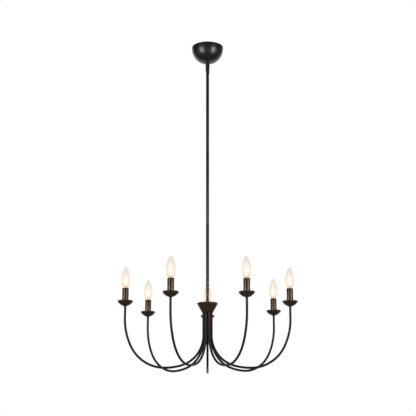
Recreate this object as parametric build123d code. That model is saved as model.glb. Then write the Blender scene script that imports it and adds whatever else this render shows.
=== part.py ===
from build123d import *

import os
from math import cos, radians, sin, sqrt

# A hanging candle chandelier: ceiling canopy, hang-straight swivel, three rods, a cone hub
# and seven U-bent arms, each with a cup, a candle sleeve, a socket and a bulb.
# Millimetres, Z up. The origin is where the fixture's axis meets the ceiling, and +Y points
# at the first arm. Heights named above_rim are measured from the plane of the cup rims.

# Canopy and ceiling bracket
canopy_radius = 62.5
canopy_band_height = 5.0
canopy_band_step = 0.5
canopy_wall = 1.2
canopy_screw_depth = 20.0
bracket_half_length = 55.5
bracket_width = 16.0
bracket_thickness = 2.0
bracket_ear_drop = 25.5
bracket_bend_radius = 3.0
box_screw_spacing = 79.4
box_slot_width = 4.6
box_slot_length = 14.1
bracket_screw_radius = 2.0
bracket_screw_head_radius = 3.6
bracket_screw_head_height = 2.4
canopy_screw_reach = 11.0
canopy_screw_clearance = 0.3
ground_screw_offset = 20.0

# Threaded tube, its nuts and the supply cable
thread_radius = 5.0
thread_bore_radius = 3.5
thread_clearance = 0.05
nut_height = 5.0
nut_half_flats = 7.5
cable_radius = 2.0
cable_passage_radius = 2.7

# Hang-straight swivel
swivel_radius = 8.0
swivel_above_dome_bottom = 9.0
swivel_socket_depth = 9.0
swivel_canopy_clearance = 0.5
pivot_below_dome_bottom = 32.0
pivot_radius = 2.0
pivot_clearance = 0.06
pivot_head_radius = 3.0
pivot_head_height = 0.8
fork_slot_width = 7.2
fork_end_drop = 7.5
fork_end_slant = 28.0
tongue_side_clearance = 0.1
tongue_gap_width = 4.6
tongue_neck_length = 15.0
tongue_body_length = 12.0
swivel_clearance = 1.2
cable_end_clearance = 0.3

# Rods
rod_radius = 6.0
rod_length = 300.0
rod_names = ("upper_rod", "middle_rod", "lower_rod")
rod_end_chamfer = 0.4
rod_thread_length = 12.0

# Hub
hub_radius = 39.0
hub_height = 35.0
hub_band_height = 3.6
hub_wall = 1.2
hub_cover_thickness = 2.0
hub_cover_step = 1.2
hub_cover_edge_radius = 0.9
hub_collar_radius = 8.5
hub_collar_height = 2.0
hub_plate_depth = 18.5
hub_plate_thickness = 4.0
hub_fit_clearance = 0.2
hub_cable_depth = 10.0
hub_cable_bend_radius = 6.0
connector_radius = 4.2
connector_top_radius = 2.8
connector_height = 13.0
connector_circle_radius = 22.2

# Arms: a straight root, a two-arc bend to the lowest point, a two-arc bend up to a straight tip
arm_set_angles = (0.0, 5.0, -0.5, -0.3, -1.5, -1.0, 2.3)
arm_root_radius = 15.4
arm_reach = 310.0
arm_tube_radius = 4.3
arm_bore_radius = 3.0
arm_low_radius = 165.3
arm_low_depth = 240.6
arm_root_bend_depth = 118.0
arm_tip_bend_depth = 65.6
arm_root_turn = 73.5
arm_tip_turn = 26.6
arm_tip_radius = 3.95
arm_tip_length = 12.5
arm_nut_radius = 5.7
arm_nut_height = 4.0
arm_thread_margin = 1.5
arm_fit_clearance = 0.1
arm_mouth_clearance = 0.3
lead_radius = 2.2
lead_margin = 3.0
hub_above_rim = 2.3

# Cup, candle sleeve and socket
cup_radius = 28.7
cup_lip_radius = 3.2
cup_depth = 22.3
cup_wall = 1.6
cup_neck_radius = 5.6
cup_neck_height = 2.0
cup_belly_radius = 20.8
cup_belly_depth = 12.7
cup_floor_depth = 16.2
sleeve_radius = 12.0
sleeve_wall = 0.8
sleeve_above_rim = 45.8
sleeve_fit_clearance = 0.3
socket_top_below_sleeve = 7.0
socket_shell_depth = 17.0
socket_shell_wall = 0.5
socket_shell_recess = 0.5
socket_contact_radius = 2.6
socket_contact_height = 1.6
socket_wire_radius = 2.6

# Bulb
bulb_base_radius = 5.95
bulb_base_clearance = 0.15
bulb_base_length = 13.7
bulb_contact_radius = 2.4
bulb_contact_height = 2.6
bulb_contact_clearance = 0.3
bulb_glass_height = 84.5
bulb_glass_wall = 0.7
bulb_neck_radius = 5.9
bulb_throat_radius = 7.4
bulb_throat_height = 6.5
bulb_flank_radius = 13.9
bulb_flank_height = 16.5
bulb_belly_radius = 16.3
bulb_belly_height = 31.0
bulb_shoulder_radius = 15.1
bulb_shoulder_height = 53.5
bulb_nose_radius = 9.0
bulb_nose_height = 72.3
bulb_tip_radius = 4.7
bulb_tip_height = 82.0
bulb_stem_radius = 2.6
bulb_stem_height = 15.0
filament_wire_radius = 0.35
filament_wire_height = 20.0
filament_half_span = 4.5
filament_rise = 6.0
filament_bend_radius = 1.5

# Places worked out from the sizes above
dome_radius = canopy_radius - canopy_band_step
dome_bottom = -canopy_band_height - dome_radius
swivel_top = dome_bottom + swivel_above_dome_bottom
pivot_height = dome_bottom - pivot_below_dome_bottom
tongue_shoulder = pivot_height - tongue_neck_length
rods_top = tongue_shoulder - tongue_body_length
rods_bottom = rods_top - len(rod_names) * rod_length
hub_top = rods_bottom - hub_collar_height
hub_bottom = hub_top - hub_height
plate_top = hub_top - hub_plate_depth
plate_bottom = plate_top - hub_plate_thickness
arm_top = plate_top + arm_nut_height + arm_thread_margin
rim_height = hub_top - hub_above_rim
cup_floor = -cup_floor_depth
socket_top = sleeve_above_rim - socket_top_below_sleeve
socket_floor = socket_top - socket_shell_depth
shell_inner_radius = bulb_base_radius + bulb_base_clearance
contact_top = socket_floor + socket_contact_height
bulb_base_bottom = contact_top + bulb_contact_clearance + bulb_contact_height
bulb_glass_bottom = bulb_base_bottom + bulb_base_length
arm_mouth_radius = arm_root_radius + arm_tube_radius + arm_mouth_clearance
arm_pitch = 360.0 / len(arm_set_angles)
arm_angles = [k * arm_pitch + set_angle for k, set_angle in enumerate(arm_set_angles)]
cable_exit_angle = (arm_angles[0] + arm_angles[1]) / 2
spare_exit_angle = (arm_angles[0] + arm_angles[-1] - 360.0) / 2

UPWARD = (Align.CENTER, Align.CENTER, Align.MIN)
DOWNWARD = (Align.CENTER, Align.CENTER, Align.MAX)


def post(radius, bottom, top):
    """A solid cylinder on the Z axis between two heights."""
    return Pos(0, 0, bottom) * Cylinder(radius, top - bottom, align=UPWARD)


def tube(outer_radius, inner_radius, bottom, top):
    """A round tube on the Z axis between two heights."""
    return post(outer_radius, bottom, top) - post(inner_radius, bottom, top)


def hex_nut(bottom):
    """A hexagon nut on the threaded tube."""
    hexagon = RegularPolygon(nut_half_flats, 6, major_radius=False)
    nut = Pos(0, 0, bottom) * extrude(hexagon, nut_height)
    return nut - post(thread_radius + thread_clearance, bottom, bottom + nut_height)


def turned(*edges):
    """A solid of revolution about the Z axis from a closed outline of (radius, 0, height) points."""
    return revolve(make_face(edges), Axis.Z)


def at_arm(shape, angle):
    """Turn a shape that was drawn on the +Y side round to an arm's angle, clockwise from above."""
    return Rot(0, 0, -angle) * shape


def at_cup(shape, angle):
    """Place a shape that was drawn on the Z axis, with the cup rim at zero height, on an arm."""
    return at_arm(Pos(0, arm_reach, rim_height) * shape, angle)


def group(shapes):
    """Several separate solids that share one node."""
    return Compound(children=list(shapes))


def sphere_drop(radius, across):
    """How far below its centre a sphere lies at a distance from its axis."""
    return sqrt(radius**2 - across**2)


def quarter_bend(across, along, first_turn):
    """Radii of two tangent arcs that turn a run through a right angle within the given extents."""
    c = cos(radians(first_turn))
    s = sin(radians(first_turn))
    divisor = 1 - c - s
    first_radius = (across * (1 - s) - along * c) / divisor
    second_radius = (along * (1 - c) - across * s) / divisor
    return first_radius, second_radius


def canopy_outline(radius, hole_radius):
    """The dome's arc on one of its two surfaces, from the band down to the hole's edge."""
    middle = radius * sin(radians(45))
    start = (radius, 0, -canopy_band_height)
    through = (middle, 0, -canopy_band_height - middle)
    end = (hole_radius, 0, -canopy_band_height - sphere_drop(radius, hole_radius))
    return ThreePointArc(start, through, end)


def make_canopy():
    """The dome that hides the ceiling box, with a plain band at the ceiling."""
    inner_radius = dome_radius - canopy_wall
    hole_radius = swivel_radius + swivel_canopy_clearance
    outer_arc = canopy_outline(dome_radius, hole_radius)
    inner_arc = canopy_outline(inner_radius, hole_radius)
    band = Polyline(
        (inner_radius, 0, -canopy_band_height),
        (inner_radius, 0, 0),
        (canopy_radius, 0, 0),
        (canopy_radius, 0, -canopy_band_height),
        (dome_radius, 0, -canopy_band_height),
    )
    hole_edge = Line(outer_arc @ 1, inner_arc @ 1)
    dome = turned(*band.edges(), outer_arc, hole_edge, inner_arc)
    screw_hole = Cylinder(bracket_screw_radius + canopy_screw_clearance, 3 * canopy_radius)
    return dome - Pos(0, 0, -canopy_screw_depth) * Rot(90, 0, 0) * screw_hole


def make_bracket():
    """The strap on the ceiling box, slotted for the box screws, with an ear bent down at each end."""
    length = 2 * bracket_half_length
    block = Box(bracket_width, length, bracket_ear_drop, align=DOWNWARD)
    block = fillet(block.edges().filter_by(Axis.X).group_by(Axis.Z)[-1], bracket_bend_radius)
    inner_length = length - 2 * bracket_thickness
    hollow = Box(2 * bracket_width, inner_length, bracket_ear_drop, align=DOWNWARD)
    hollow = fillet(
        hollow.edges().filter_by(Axis.X).group_by(Axis.Z)[-1],
        max(bracket_bend_radius - bracket_thickness, bracket_thickness / 4),
    )
    strap = block - Pos(0, 0, -bracket_thickness) * hollow
    slot = extrude(Rot(0, 0, 90) * SlotOverall(box_slot_length, box_slot_width), -bracket_ear_drop)
    for side in (-1, 1):
        strap -= Pos(0, side * box_screw_spacing / 2, 0) * slot
    strap -= post(thread_radius + thread_clearance, -bracket_thickness, 0)
    tapped_hole = Cylinder(bracket_screw_radius + thread_clearance, 2 * length)
    strap -= Pos(0, 0, -canopy_screw_depth) * Rot(90, 0, 0) * tapped_hole
    ground_hole = post(bracket_screw_radius + thread_clearance, -bracket_thickness, 0)
    return strap - Pos(0, ground_screw_offset, 0) * ground_hole


def make_screw(length):
    """A round-headed screw on the Z axis, its head standing up from the origin."""
    head = post(bracket_screw_head_radius, 0, bracket_screw_head_height)
    head = fillet(head.edges().group_by(Axis.Z)[-1], bracket_screw_head_height * 0.6)
    return head + post(bracket_screw_radius, -length, 0)


def make_canopy_screws():
    """The two side screws that hold the dome to the bracket's ears."""
    head_edge_drop = canopy_screw_depth - canopy_band_height - bracket_screw_head_radius
    seat = sphere_drop(dome_radius, head_edge_drop) + canopy_screw_clearance
    screw = Pos(0, seat, -canopy_screw_depth) * Rot(-90, 0, 0) * make_screw(canopy_screw_reach)
    return group([screw, Rot(0, 0, 180) * screw])


def make_ground_screw():
    """The earth screw, driven up through the bracket from below."""
    screw = Rot(180, 0, 0) * make_screw(bracket_thickness)
    return Pos(0, ground_screw_offset, -bracket_thickness) * screw


def make_fork():
    """The swivel's upper half: screwed on the threaded tube, slotted below, with a slanted end."""
    lowest = pivot_height - fork_end_drop - 2 * swivel_radius
    fork = post(swivel_radius, lowest, swivel_top)
    fork -= post(thread_radius + thread_clearance, swivel_top - swivel_socket_depth, swivel_top)
    fork -= post(cable_passage_radius, lowest, swivel_top)
    tongue_top = pivot_height + rod_radius
    slot_height = tongue_top + swivel_clearance - lowest
    fork -= Pos(0, 0, lowest) * Box(4 * swivel_radius, fork_slot_width, slot_height, align=UPWARD)
    end_cut = Box(8 * swivel_radius, 8 * swivel_radius, 8 * swivel_radius, align=DOWNWARD)
    fork -= Pos(0, 0, pivot_height - fork_end_drop) * Rot(0, fork_end_slant, 0) * end_cut
    rivet_hole = Cylinder(pivot_radius + thread_clearance, 4 * swivel_radius)
    return fork - Pos(0, 0, pivot_height) * Rot(90, 0, 0) * rivet_hole


def make_rivets():
    """The two stub rivets of the pivot, one in each ear, clear of the cable between them."""
    inner_end = tongue_gap_width / 2
    stub = post(pivot_radius, inner_end, swivel_radius)
    head = post(pivot_head_radius, swivel_radius, swivel_radius + pivot_head_height)
    head = fillet(head.edges().group_by(Axis.Z)[-1], pivot_head_height * 0.7)
    rivet = Pos(0, 0, pivot_height) * Rot(90, 0, 0) * (stub + head)
    return group([rivet, Rot(0, 0, 180) * rivet])


def make_tongue():
    """The swivel's lower half: two round-topped cheeks on a short body that screws into the rods."""
    thickness = fork_slot_width - 2 * tongue_side_clearance
    neck = Pos(0, 0, tongue_shoulder) * Box(2 * rod_radius, thickness, tongue_neck_length, align=UPWARD)
    crown = Pos(0, 0, pivot_height) * Rot(90, 0, 0) * Cylinder(rod_radius, thickness)
    tongue = neck + crown
    gap_floor = pivot_height - rod_radius - swivel_clearance
    gap_height = pivot_height + rod_radius - gap_floor
    tongue -= Pos(0, 0, gap_floor) * Box(4 * rod_radius, tongue_gap_width, gap_height, align=UPWARD)
    rivet_hole = Cylinder(pivot_radius + pivot_clearance, 4 * rod_radius)
    tongue -= Pos(0, 0, pivot_height) * Rot(90, 0, 0) * rivet_hole
    tongue += post(rod_radius, rods_top, tongue_shoulder)
    tongue += post(thread_radius, rods_top - rod_thread_length, rods_top)
    return tongue - post(cable_passage_radius, rods_top - rod_thread_length, pivot_height)


def make_rod(index):
    """One hollow rod, tapped at both ends, with a fine chamfer that shows as a joint line."""
    top = rods_top - index * rod_length
    rod = post(rod_radius, top - rod_length, top)
    rod = chamfer(rod.edges().filter_by(GeomType.CIRCLE), rod_end_chamfer)
    return rod - post(thread_radius + thread_clearance, top - rod_length, top)


def make_couplers():
    """The hidden threaded tubes that join one rod to the next."""
    couplers = []
    for joint in range(1, len(rod_names)):
        height = rods_top - joint * rod_length
        bottom = height - rod_thread_length
        couplers.append(tube(thread_radius, thread_bore_radius, bottom, height + rod_thread_length))
    return group(couplers)


def hub_cone_radius(height):
    """The cone's outer radius at a height between its band and its mouth."""
    band_bottom = hub_top - hub_band_height
    mouth_radius = arm_mouth_radius + hub_wall
    share = (band_bottom - height) / (band_bottom - hub_bottom)
    return hub_radius + share * (mouth_radius - hub_radius)


def make_hub_cone():
    """The cone that hides the arm roots, open at its mouth where the arms come out."""
    cone_top = hub_top - hub_cover_thickness
    band_bottom = hub_top - hub_band_height
    outline = Polyline(
        (hub_radius, 0, cone_top),
        (hub_radius, 0, band_bottom),
        (hub_cone_radius(hub_bottom), 0, hub_bottom),
        (arm_mouth_radius, 0, hub_bottom),
        (hub_radius - hub_wall, 0, band_bottom),
        (hub_radius - hub_wall, 0, cone_top),
        close=True,
    )
    return turned(*outline.edges())


def make_hub_cover():
    """The flat cover on the cone, with a collar that the lowest rod stands on."""
    cover = post(hub_radius, hub_top - hub_cover_thickness, hub_top)
    cover = fillet(cover.edges().group_by(Axis.Z)[-1], hub_cover_edge_radius)
    collar = post(hub_collar_radius, hub_top, hub_top + hub_collar_height)
    cover += fillet(collar.edges().group_by(Axis.Z)[-1], hub_cover_edge_radius)
    step_radius = hub_radius - hub_wall - hub_fit_clearance
    step_bottom = hub_top - hub_cover_thickness - hub_cover_step
    cover += post(step_radius, step_bottom, hub_top - hub_cover_thickness)
    return cover - post(thread_radius + arm_fit_clearance, step_bottom, hub_top + hub_collar_height)


def make_arm_plate():
    """The plate inside the cone that carries the arms."""
    plate_radius = hub_cone_radius(plate_bottom) - hub_wall - hub_fit_clearance
    plate = post(plate_radius, plate_bottom, plate_top)
    plate -= post(thread_radius + arm_fit_clearance, plate_bottom, plate_top)
    hole = Pos(0, arm_root_radius, 0) * post(arm_tube_radius + arm_fit_clearance, plate_bottom, plate_top)
    for angle in arm_angles:
        plate -= at_arm(hole, angle)
    return plate


def make_hub_nipple():
    """The threaded tube from the lowest rod to the arm plate, with a window for the cable."""
    bottom = plate_bottom - nut_height - arm_thread_margin
    nipple = tube(thread_radius, thread_bore_radius, bottom, rods_bottom + rod_thread_length)
    window_bottom = hub_top - hub_cable_depth - cable_passage_radius
    window_top = hub_top - hub_cable_depth + hub_cable_bend_radius + cable_passage_radius
    window = Box(2 * cable_passage_radius, 2 * thread_radius, window_top - window_bottom)
    window = Pos(0, thread_radius, (window_bottom + window_top) / 2) * window
    return nipple - at_arm(window, cable_exit_angle)


def make_arm_nuts():
    """The round nuts that clamp the arm roots on the plate."""
    nut = tube(arm_nut_radius, arm_tube_radius + arm_fit_clearance, plate_top, plate_top + arm_nut_height)
    return group(at_arm(Pos(0, arm_root_radius, 0) * nut, angle) for angle in arm_angles)


def arm_path(top, end):
    """The arm's centre line on the +Y side, from a height above the plate to a height at the cup."""
    root_bend = rim_height - arm_root_bend_depth
    low = rim_height - arm_low_depth
    tip_bend = rim_height - arm_tip_bend_depth
    root_arc, root_sweep = quarter_bend(arm_low_radius - arm_root_radius, root_bend - low, arm_root_turn)
    tip_arc, tip_sweep = quarter_bend(arm_reach - arm_low_radius, tip_bend - low, arm_tip_turn)
    root_cos = cos(radians(arm_root_turn))
    root_sin = sin(radians(arm_root_turn))
    tip_cos = cos(radians(arm_tip_turn))
    tip_sin = sin(radians(arm_tip_turn))
    start = (0, arm_root_radius, top)
    bend_start = (0, arm_root_radius, root_bend)
    root_joint = (0, arm_root_radius + root_arc * (1 - root_cos), root_bend - root_arc * root_sin)
    lowest = (0, arm_low_radius, low)
    tip_joint = (0, arm_reach - tip_arc * (1 - tip_cos), tip_bend - tip_arc * tip_sin)
    bend_end = (0, arm_reach, tip_bend)
    finish = (0, arm_reach, end)
    return Wire([
        Line(start, bend_start).edge(),
        TangentArc(bend_start, root_joint, tangent=(0, 0, -1)).edge(),
        TangentArc(root_joint, lowest, tangent=(0, root_sin, -root_cos)).edge(),
        TangentArc(lowest, tip_joint, tangent=(0, 1, 0)).edge(),
        TangentArc(tip_joint, bend_end, tangent=(0, tip_sin, tip_cos)).edge(),
        Line(bend_end, finish).edge(),
    ])


def sweep_round(path, radius):
    """A round bar along a path."""
    start_plane = Plane(origin=path @ 0, z_dir=path % 0)
    return sweep(start_plane * Circle(radius), path=path)


def make_arm():
    """One hollow arm on the +Y side, with a thinner threaded tip above a shoulder for the cup."""
    shoulder = rim_height - cup_depth
    path = arm_path(arm_top, shoulder)
    arm = sweep_round(path, arm_tube_radius) - sweep_round(path, arm_bore_radius)
    tip = tube(arm_tip_radius, arm_bore_radius, shoulder, shoulder + arm_tip_length)
    return arm + Pos(0, arm_reach, 0) * tip


def make_lead():
    """The lamp wire inside one arm, from the hub to the socket."""
    socket_bore_end = rim_height - cup_depth + arm_tip_length + lead_margin
    return sweep_round(arm_path(arm_top + lead_margin, socket_bore_end), lead_radius)


def make_cup():
    """The shallow drip cup with a rolled lip, drawn with its rim plane at zero height."""
    lip_centre = cup_radius - cup_lip_radius
    outer_start = (lip_centre + cup_wall, 0, -cup_lip_radius)
    outer_middle = (cup_belly_radius, 0, -cup_belly_depth)
    neck_top = cup_neck_height - cup_depth
    outer_end = (cup_neck_radius, 0, neck_top)
    outer_arc = ThreePointArc(outer_start, outer_middle, outer_end)
    hole_radius = arm_tip_radius + arm_fit_clearance
    floor_radius = sleeve_radius + sleeve_fit_clearance
    inner_middle = (cup_belly_radius - cup_wall / 2, 0, cup_wall - cup_belly_depth)
    inner_arc = ThreePointArc((floor_radius, 0, cup_floor), inner_middle, (lip_centre, 0, -cup_lip_radius))
    neck = Polyline(
        outer_end,
        (cup_neck_radius, 0, -cup_depth),
        (hole_radius, 0, -cup_depth),
        (hole_radius, 0, cup_floor),
        (floor_radius, 0, cup_floor),
    )
    lip_edge = Line((lip_centre, 0, -cup_lip_radius), outer_start)
    bowl = turned(outer_arc, *neck.edges(), inner_arc, lip_edge)
    lip = revolve(Plane.XZ * Pos(lip_centre, -cup_lip_radius) * Circle(cup_lip_radius), Axis.Z)
    return bowl + lip


def make_sleeve():
    """The candle sleeve that stands in the cup and hides the socket."""
    return tube(sleeve_radius, sleeve_radius - sleeve_wall, cup_floor, sleeve_above_rim)


def make_socket():
    """The insulating socket body, screwed on the arm's tip and bored for the screw shell."""
    radius = sleeve_radius - sleeve_wall - sleeve_fit_clearance
    body = post(radius, cup_floor, socket_top)
    tip_end = arm_tip_length - cup_depth
    body -= post(arm_tip_radius + arm_fit_clearance, cup_floor, tip_end + arm_fit_clearance)
    body -= post(socket_wire_radius, cup_floor, socket_floor - socket_contact_height)
    return body - post(shell_inner_radius + socket_shell_wall, socket_floor, socket_top)


def make_socket_metal():
    """The screw shell and the centre contact of one socket."""
    shell_outer = shell_inner_radius + socket_shell_wall - thread_clearance
    shell = tube(shell_outer, shell_inner_radius, socket_floor, socket_top - socket_shell_recess)
    return [shell, post(socket_contact_radius, socket_floor, contact_top)]


def bulb_outline(inset):
    """The glass's half outline, drawn in by an inset, from the neck to the tip."""
    stations = (
        (bulb_neck_radius, 0),
        (bulb_throat_radius, bulb_throat_height),
        (bulb_flank_radius, bulb_flank_height),
        (bulb_belly_radius, bulb_belly_height),
        (bulb_shoulder_radius, bulb_shoulder_height),
        (bulb_nose_radius, bulb_nose_height),
        (bulb_tip_radius, bulb_tip_height - inset),
    )
    points = [(radius - inset, 0, bulb_glass_bottom + height) for radius, height in stations]
    tip = (0, 0, bulb_glass_bottom + bulb_glass_height - inset)
    return Spline(*points, tip, tangents=[(0, 0, 1), (-1, 0, 0)])


def make_glass():
    """The hollow candle-shaped glass."""
    outer = bulb_outline(0)
    inner = bulb_outline(bulb_glass_wall)
    return turned(outer, Line(outer @ 1, inner @ 1), inner, Line(inner @ 0, outer @ 0))


def make_bulb_base():
    """The screw base with its contact, the glass stem, and the filament on its two wires, of one bulb."""
    base = post(bulb_base_radius, bulb_base_bottom, bulb_glass_bottom)
    contact = post(bulb_contact_radius, bulb_base_bottom - bulb_contact_height, bulb_base_bottom)
    stem_top = bulb_glass_bottom + bulb_stem_height
    stem = post(bulb_stem_radius, bulb_glass_bottom, stem_top)
    wire_top = stem_top + filament_wire_height
    foot = bulb_stem_radius / 2
    hairpin = FilletPolyline(
        (-foot, 0, stem_top),
        (-foot, 0, stem_top + bulb_stem_radius),
        (-filament_half_span, 0, wire_top),
        (0, 0, wire_top + filament_rise),
        (filament_half_span, 0, wire_top),
        (foot, 0, stem_top + bulb_stem_radius),
        (foot, 0, stem_top),
        radius=filament_bend_radius,
    )
    filament = sweep_round(Wire(hairpin.edges()), filament_wire_radius)
    return [base + contact, stem, filament]


def make_upper_cable():
    """The supply cable from the ceiling box down to just above the swivel's pivot."""
    return post(cable_radius, pivot_height + cable_radius + cable_end_clearance, -bracket_thickness)


def make_lower_cable():
    """The supply cable from the pivot down the rods and out of the window into the hub."""
    exit_height = hub_top - hub_cable_depth
    bend = hub_cable_bend_radius
    reach = connector_circle_radius - connector_radius - cable_end_clearance
    path = Wire([
        Line((0, 0, pivot_height), (0, 0, exit_height + bend)).edge(),
        TangentArc((0, 0, exit_height + bend), (0, bend, exit_height), tangent=(0, 0, -1)).edge(),
        Line((0, bend, exit_height), (0, reach, exit_height)).edge(),
    ])
    cable = sweep_round(path, cable_radius) + Pos(0, 0, pivot_height) * Sphere(cable_radius)
    return at_arm(cable, cable_exit_angle)


def make_connectors():
    """The two push-on wire connectors that stand on the arm plate."""
    cap = Cone(connector_radius, connector_top_radius, connector_height, align=UPWARD)
    cap = Pos(0, connector_circle_radius, plate_top) * cap
    return group([at_arm(cap, cable_exit_angle), at_arm(cap, spare_exit_angle)])


def make_parts():
    """Every node of the fixture, by name."""
    parts = {
        "mounting_bracket": make_bracket(),
        "threaded_nipple": tube(thread_radius, thread_bore_radius, swivel_top - swivel_socket_depth, 0),
        "nipple_locknut": hex_nut(-bracket_thickness - nut_height),
        "canopy": make_canopy(),
        "canopy_screws": make_canopy_screws(),
        "ground_screw": make_ground_screw(),
        "swivel_fork": make_fork(),
        "swivel_rivets": make_rivets(),
        "supply_cable_upper": make_upper_cable(),
        "swivel_tongue": make_tongue(),
        "rod_couplers": make_couplers(),
        "hub_nipple": make_hub_nipple(),
        "hub_cover": make_hub_cover(),
        "hub_cone": make_hub_cone(),
        "arm_plate": make_arm_plate(),
        "hub_locknut": hex_nut(plate_bottom - nut_height),
        "arm_locknuts": make_arm_nuts(),
        "supply_cable_lower": make_lower_cable(),
        "wire_connectors": make_connectors(),
    }
    for index, rod_name in enumerate(rod_names):
        parts[rod_name] = make_rod(index)
    arm = make_arm()
    lead = make_lead()
    cup = make_cup()
    sleeve = make_sleeve()
    socket = make_socket()
    metal = make_socket_metal()
    glass = make_glass()
    base = make_bulb_base()
    parts["arm_leads"] = group(at_arm(lead, angle) for angle in arm_angles)
    parts["lamp_sockets"] = group(at_cup(socket, angle) for angle in arm_angles)
    parts["socket_shells"] = group(at_cup(piece, angle) for angle in arm_angles for piece in metal)
    for number, angle in enumerate(arm_angles, start=1):
        parts[f"arm_{number}"] = at_arm(arm, angle)
        parts[f"cup_{number}"] = at_cup(cup, angle)
        parts[f"candle_sleeve_{number}"] = at_cup(sleeve, angle)
        parts[f"bulb_{number}_glass"] = at_cup(glass, angle)
        parts[f"bulb_{number}_base"] = group(at_cup(piece, angle) for piece in base)
    return parts


os.makedirs("parts", exist_ok=True)
for name, shape in make_parts().items():
    export_step(shape, f"parts/{name}.step")
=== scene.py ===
from math import acos, atan2, cos, pi, radians, sin, sqrt

import bmesh
import bpy
from bpy.props import FloatProperty, FloatVectorProperty, PointerProperty
from bpy.types import Operator, Panel, PropertyGroup
from mathutils import Matrix, Vector


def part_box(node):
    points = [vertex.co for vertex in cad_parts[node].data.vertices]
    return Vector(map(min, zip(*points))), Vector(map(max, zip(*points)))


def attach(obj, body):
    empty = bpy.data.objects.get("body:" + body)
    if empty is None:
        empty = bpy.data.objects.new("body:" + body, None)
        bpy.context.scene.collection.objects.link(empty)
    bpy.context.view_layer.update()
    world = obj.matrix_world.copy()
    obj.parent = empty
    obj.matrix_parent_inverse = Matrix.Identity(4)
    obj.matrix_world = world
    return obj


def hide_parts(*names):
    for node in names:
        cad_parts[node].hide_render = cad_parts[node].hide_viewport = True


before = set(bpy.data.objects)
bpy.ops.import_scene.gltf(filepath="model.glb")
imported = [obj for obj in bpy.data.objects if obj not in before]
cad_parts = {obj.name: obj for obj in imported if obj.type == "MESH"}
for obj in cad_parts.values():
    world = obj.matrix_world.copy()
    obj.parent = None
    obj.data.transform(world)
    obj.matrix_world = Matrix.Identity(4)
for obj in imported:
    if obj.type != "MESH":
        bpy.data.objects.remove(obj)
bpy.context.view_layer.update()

bl_info = {
    "name": "Candle Chandelier Dressing",
    "version": (1, 0, 0),
    "blender": (4, 5, 0),
    "location": "3D View > Sidebar > Chandelier",
    "description": "Models and finishes the visible pieces of a hanging candle chandelier on its CAD frame",
    "category": "Object",
}

ARM_NUMBERS = range(1, 8)
ROD_NODES = ("upper_rod", "middle_rod", "lower_rod")
LAMP_KINDS = ("softboxes", "bulbs")

# Places read from the frame, in metres
CANOPY_LOW, CANOPY_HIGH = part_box("canopy")
COVER_LOW, COVER_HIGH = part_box("hub_cover")
CONE_LOW, CONE_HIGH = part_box("hub_cone")
ARM_LOW, ARM_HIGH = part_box("arm_1")
CUP_LOW, CUP_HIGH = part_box("cup_1")
SLEEVE_LOW, SLEEVE_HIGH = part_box("candle_sleeve_1")
GLASS_LOW, GLASS_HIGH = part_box("bulb_1_glass")
BASE_LOW, BASE_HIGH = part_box("bulb_1_base")
RIM_HEIGHT = CUP_HIGH.z
SLEEVE_TOP = SLEEVE_HIGH.z
FIRST_CUP = (CUP_LOW + CUP_HIGH) / 2
ARM_REACH = FIRST_CUP.xy.length
ARM_RADIUS = ARM_HIGH.y - FIRST_CUP.y
ARM_ROOT = ARM_LOW.y + ARM_RADIUS


def centre(node):
    """The middle of a node's box."""
    low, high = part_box(node)
    return (low + high) / 2


def half_width(node):
    """Half of a node's box along X."""
    low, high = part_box(node)
    return (high.x - low.x) / 2


def length_property(name, description, default):
    """A length that the sidebar shows in scene units."""
    return FloatProperty(name=name, description=description, default=default, unit="LENGTH", precision=5)


def share_property(name, description, default):
    """A share between nothing and all."""
    return FloatProperty(name=name, description=description, default=default, subtype="FACTOR")


def turn_property(name, description, default):
    """An angle given in degrees."""
    return FloatProperty(name=name, description=description, default=radians(default), subtype="ANGLE")


def colour_property(name, description, default):
    """A scene-linear colour."""
    return FloatVectorProperty(name=name, description=description, default=default, subtype="COLOR")


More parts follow.
